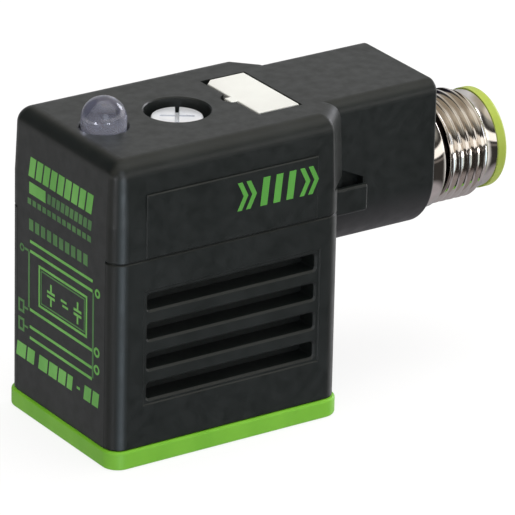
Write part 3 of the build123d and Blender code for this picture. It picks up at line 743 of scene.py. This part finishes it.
def make_screw(materials):
    """Cheese head screw with a slot, a cross and a real M3 thread."""
    top_z = SCREW_HIGH[2]
    above = top_z + 0.5 * MM
    turn = math.radians(57)
    mouth_share, floor_share = 1.25, 0.7
    screw = screw_blank()
    for name, length, width, depth, side in (
        ("slot", 6.0 * MM, 0.46 * MM, 0.75 * MM, 0),
        ("cross", 3.6 * MM, 0.4 * MM, 0.9 * MM, math.pi / 2),
    ):
        bm = bmesh.new()
        wide, narrow = mouth_share * width, floor_share * width
        taper_box(bm, length, wide, narrow, top_z - depth, above, turn + side)
        cut(screw, bm, name)
    shade(screw, angle=32)
    screw.data.materials.clear()
    screw.data.materials.append(materials["screw_steel"])
    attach(screw, "screw")
    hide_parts("central_screw")


# ---- status light --------------------------------------------------------------------
def make_led(materials):
    """Clear LED body with its die and bond wire."""
    flange_z, top_z = LENS_LOW[2], LENS_HIGH[2]
    flange_r = (LENS_HIGH[0] - LENS_LOW[0]) / 2
    flange_top = flange_z + 1.0 * MM
    lens_r = 2.4 * MM
    dome_z = top_z - lens_r
    edge = 0.12 * MM
    dome_steps = 28
    profile = [
        (flange_r - edge, flange_z),
        (flange_r, flange_z + edge),
        (flange_r, flange_top - edge),
        (flange_r - edge, flange_top),
        (lens_r + edge, flange_top),
        (lens_r, flange_top + edge),
    ]
    for i in range(dome_steps):
        angle = math.pi / 2 * i / dome_steps
        profile.append((lens_r * math.cos(angle), dome_z + lens_r * math.sin(angle)))
    bm = bmesh.new()
    grid = add_rows(bm, [around_z(r, z, LED_X) for r, z in profile], closed=False)
    bm.faces.new(grid[0])
    tip = bm.verts.new((LED_X, 0, top_z))
    last = grid[-1]
    for i in range(len(last)):
        bm.faces.new((last[i], last[(i + 1) % len(last)], tip))
    lens = new_object("led_lens_clear", bm, smooth_angle=30)
    lens.data.materials.append(materials["led_epoxy"])
    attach(lens, "housing")
    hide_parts("led_lens")
    make_led_die(materials)


def make_led_die(materials):
    """Chip in the reflector cup and the bond wire to the anode post."""
    chip_width = 0.34 * MM
    chip_height = 0.2 * MM
    chip_z = LEADS_HIGH[2] - 0.6 * MM
    chip_top = chip_z + chip_height
    bm = bmesh.new()
    bmesh.ops.create_cube(bm, size=1.0)
    size = Matrix.Diagonal((chip_width, chip_width, chip_height, 1))
    place = Matrix.Translation((LED_X, 0, (chip_z + chip_top) / 2))
    bmesh.ops.transform(bm, matrix=place @ size, verts=bm.verts)
    bmesh.ops.bevel(bm, geom=bm.edges[:], offset=0.03 * MM, segments=2, affect="EDGES")
    chip = new_object("led_chip", bm, smooth_angle=40)
    chip.data.materials.append(materials["led_chip"])
    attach(chip, "housing")
    post_y = LEADS_LOW[1] + 0.25 * MM
    post_z = LEADS_HIGH[2] - 0.2 * MM
    lift = Vector((0, 0, 0.8 * MM))
    curve = bpy.data.curves.new("led_bond_wire", "CURVE")
    curve.dimensions = "3D"
    curve.bevel_depth = 0.035 * MM
    curve.bevel_resolution = 2
    spline = curve.splines.new("BEZIER")
    spline.bezier_points.add(1)
    ends = (Vector((LED_X, 0, chip_top)), Vector((LED_X, post_y, post_z)))
    for point, end in zip(spline.bezier_points, ends):
        point.co = end
        point.handle_left = end + lift
        point.handle_right = end + lift
    wire = bpy.data.objects.new("led_bond_wire", curve)
    bpy.context.collection.objects.link(wire)
    wire.data.materials.append(materials["pin_gold"])
    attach(wire, "housing")


# ---- printed marks: u and v are millimetres along and up a face ----------------------
def on_end_face(y, z, lift):
    """Point of the -X end face, which leans inwards near its top."""
    inset = TAPER_INSET * max(0.0, z - TAPER_START_Z) / (TOP_Z - TAPER_START_Z)
    return Vector((FRONT_X + inset - lift, y, z))


def on_side_panel(x, z, lift):
    """Point of the -Y side's raised panel."""
    return Vector((x, SIDE_Y - PANEL_RISE - lift, z))


def mark(bm, place, outline):
    """Closed patch of ink over an outline given in millimetres."""
    top = [bm.verts.new(place(u * MM, v * MM, INK)) for u, v in outline]
    low = [bm.verts.new(place(u * MM, v * MM, -INK)) for u, v in outline]
    bm.faces.new(top)
    bm.faces.new(low)
    count = len(outline)
    for i in range(count):
        j = (i + 1) % count
        bm.faces.new((low[i], low[j], top[j], top[i]))


def bar(bm, place, u0, u1, v0, v1, lean=0.0):
    """Rectangle, or a parallelogram whose top is shifted by lean."""
    mark(bm, place, [(u0, v0), (u1, v0), (u1 + lean, v1), (u0 + lean, v1)])


def ink_frame(bm, place, outer, inner):
    """Closed ring of ink between two outlines given in millimetres."""
    loops = []
    for outline, lift in ((outer, -INK), (outer, INK), (inner, INK), (inner, -INK)):
        loops.append([bm.verts.new(place(u * MM, v * MM, lift)) for u, v in outline])
    for a, b in zip(loops, loops[1:] + loops[:1]):
        count = len(a)
        for i in range(count):
            j = (i + 1) % count
            bm.faces.new((a[i], a[j], b[j], b[i]))


def outline_box(bm, place, u0, u1, v0, v1, line):
    """Line of ink round a rectangle."""
    outer = [(u0, v0), (u1, v0), (u1, v1), (u0, v1)]
    u0, u1, v0, v1 = u0 + line, u1 - line, v0 + line, v1 - line
    ink_frame(bm, place, outer, [(u0, v0), (u1, v0), (u1, v1), (u0, v1)])


def dot_ring(bm, place, u, v, radius, line):
    """Small open circle, as a terminal in a circuit diagram."""
    count = 24
    turns = [TAU * i / count for i in range(count)]
    outer = [(u + radius * math.cos(t), v + radius * math.sin(t)) for t in turns]
    hole = radius - line
    ink_frame(bm, place, outer, [(u + hole * math.cos(t), v + hole * math.sin(t)) for t in turns])


def dashes(bm, place, u0, u1, v0, v1, count, share, lean=0.0):
    """Row of equal dashes from u0 to u1, each taking up share of its pitch."""
    gap = (u1 - u0) / (count / (1 - share) - 1)
    width = (u1 - u0 + gap) / count - gap
    for i in range(count):
        u = u0 + i * (width + gap)
        bar(bm, place, u, u + width, v0, v1, lean)


def finish_print(bm, name, material):
    """Object for one set of marks."""
    printed = new_object(name, bm)
    printed.data.materials.append(material)
    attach(printed, "housing")


def capacitor(bm, place, u, v):
    """Two plates, one over the other, with a lead to each."""
    lead_half, plate_half = 0.15, 0.75
    gap, plate, lead = 0.115, 0.395, 1.225
    for side in (-1, 1):
        bar(bm, place, u - plate_half, u + plate_half, v + side * gap, v + side * plate)
        bar(bm, place, u - lead_half, u + lead_half, v + side * plate, v + side * lead)


def draw_headings(strong, faint):
    """Rows of dashes and one solid bar, where the real plug carries text."""
    dashes(strong, on_end_face, -5.8, 6.4, 27.05, 29.2, count=9, share=0.8, lean=-0.3)
    bar(strong, on_end_face, 3.0, 6.2, 25.15, 26.45)
    dashes(faint, on_end_face, -5.8, 2.7, 25.25, 26.35, count=10, share=0.75, lean=-0.15)
    dashes(faint, on_end_face, -5.8, 6.5, 23.95, 24.6, count=13, share=0.72)
    dashes(faint, on_end_face, -5.2, 6.2, 21.1, 22.35, count=10, share=0.7)


def draw_diagram(strong, faint):
    """Small circuit diagram of boxes, lines and terminals."""
    half_line = 0.16
    for z in (19.85, 18.75, 12.15, 10.2, 8.95):
        bar(strong, on_end_face, -6.2, 6.0, z - half_line, z + half_line)
    outline_box(strong, on_end_face, -5.2, 4.3, 13.1, 17.8, line=0.28)
    outline_box(faint, on_end_face, -4.75, 3.85, 13.55, 17.35, line=0.16)
    for y in (1.85, -3.35):
        capacitor(strong, on_end_face, y, 15.225)
    bar(strong, on_end_face, -1.2, -0.1, 15.35, 15.6)
    bar(strong, on_end_face, -1.5, -0.4, 14.85, 15.1)
    dot_ring(strong, on_end_face, -7.15, 18.8, radius=0.5, line=0.26)
    for z in (12.25, 10.3):
        dot_ring(strong, on_end_face, -7.1, z, radius=0.55, line=0.26)
    bar(faint, on_end_face, 6.05, 6.35, 12.3, 18.6)
    bar(faint, on_end_face, -6.5, -6.2, 9.1, 18.6)
    bar(faint, on_end_face, 6.3, 7.1, 18.55, 18.8)
    dot_ring(faint, on_end_face, 7.6, 18.6, radius=0.45, line=0.22)
    for z in (9.9, 12.0):
        outline_box(faint, on_end_face, 7.1, 8.3, z - 0.75, z + 0.75, line=0.3)
        bar(faint, on_end_face, 6.35, 7.1, z - 0.12, z + 0.12)


def draw_foot(strong):
    """Bottom row of leaning bars with one short dash."""
    bars = ((6.9, 8.7), (5.2, 6.6), (2.6, 4.3), (0.7, 2.3), (-1.0, 0.4), (-2.3, -1.3))
    bars += ((-5.9, -4.6), (-7.4, -6.2))
    for y0, y1 in bars:
        bar(strong, on_end_face, y0, y1, 6.1, 7.75, -0.25)
    bar(strong, on_end_face, -3.9, -3.3, 6.75, 7.05)


def print_end_face(materials):
    """Plain bars round a small circuit diagram, in strong and thin ink; no lettering."""
    strong, faint = bmesh.new(), bmesh.new()
    draw_headings(strong, faint)
    draw_diagram(strong, faint)
    draw_foot(strong)
    finish_print(strong, "print_end_face", materials["print_green"])
    finish_print(faint, "print_end_face_faint", materials["print_faint"])


def print_side_panel(materials):
    """Two pairs of chevrons with three slanting bars between them."""
    low, middle, high = 25.9, 27.45, 29.0
    stroke = 0.56
    point = 0.75
    bar_width = 0.85
    lean = 0.35
    bm = bmesh.new()
    for x in (0.7, 1.75, 8.35, 9.4):
        tip = x + point
        points = [(x, low), (x + stroke, low), (tip + stroke, middle), (x + stroke, high)]
        mark(bm, on_side_panel, points + [(x, high), (tip, middle)])
    for x in (3.5, 5.1, 6.7):
        bar(bm, on_side_panel, x, x + bar_width, low, high, lean)
    finish_print(bm, "print_side_panel", materials["print_deep"])


add_camera()
add_studio()
MATERIALS = make_materials()
paint_cad_nodes(MATERIALS)
make_sleeve(MATERIALS)
make_screw(MATERIALS)
make_led(MATERIALS)
print_end_face(MATERIALS)
print_side_panel(MATERIALS)
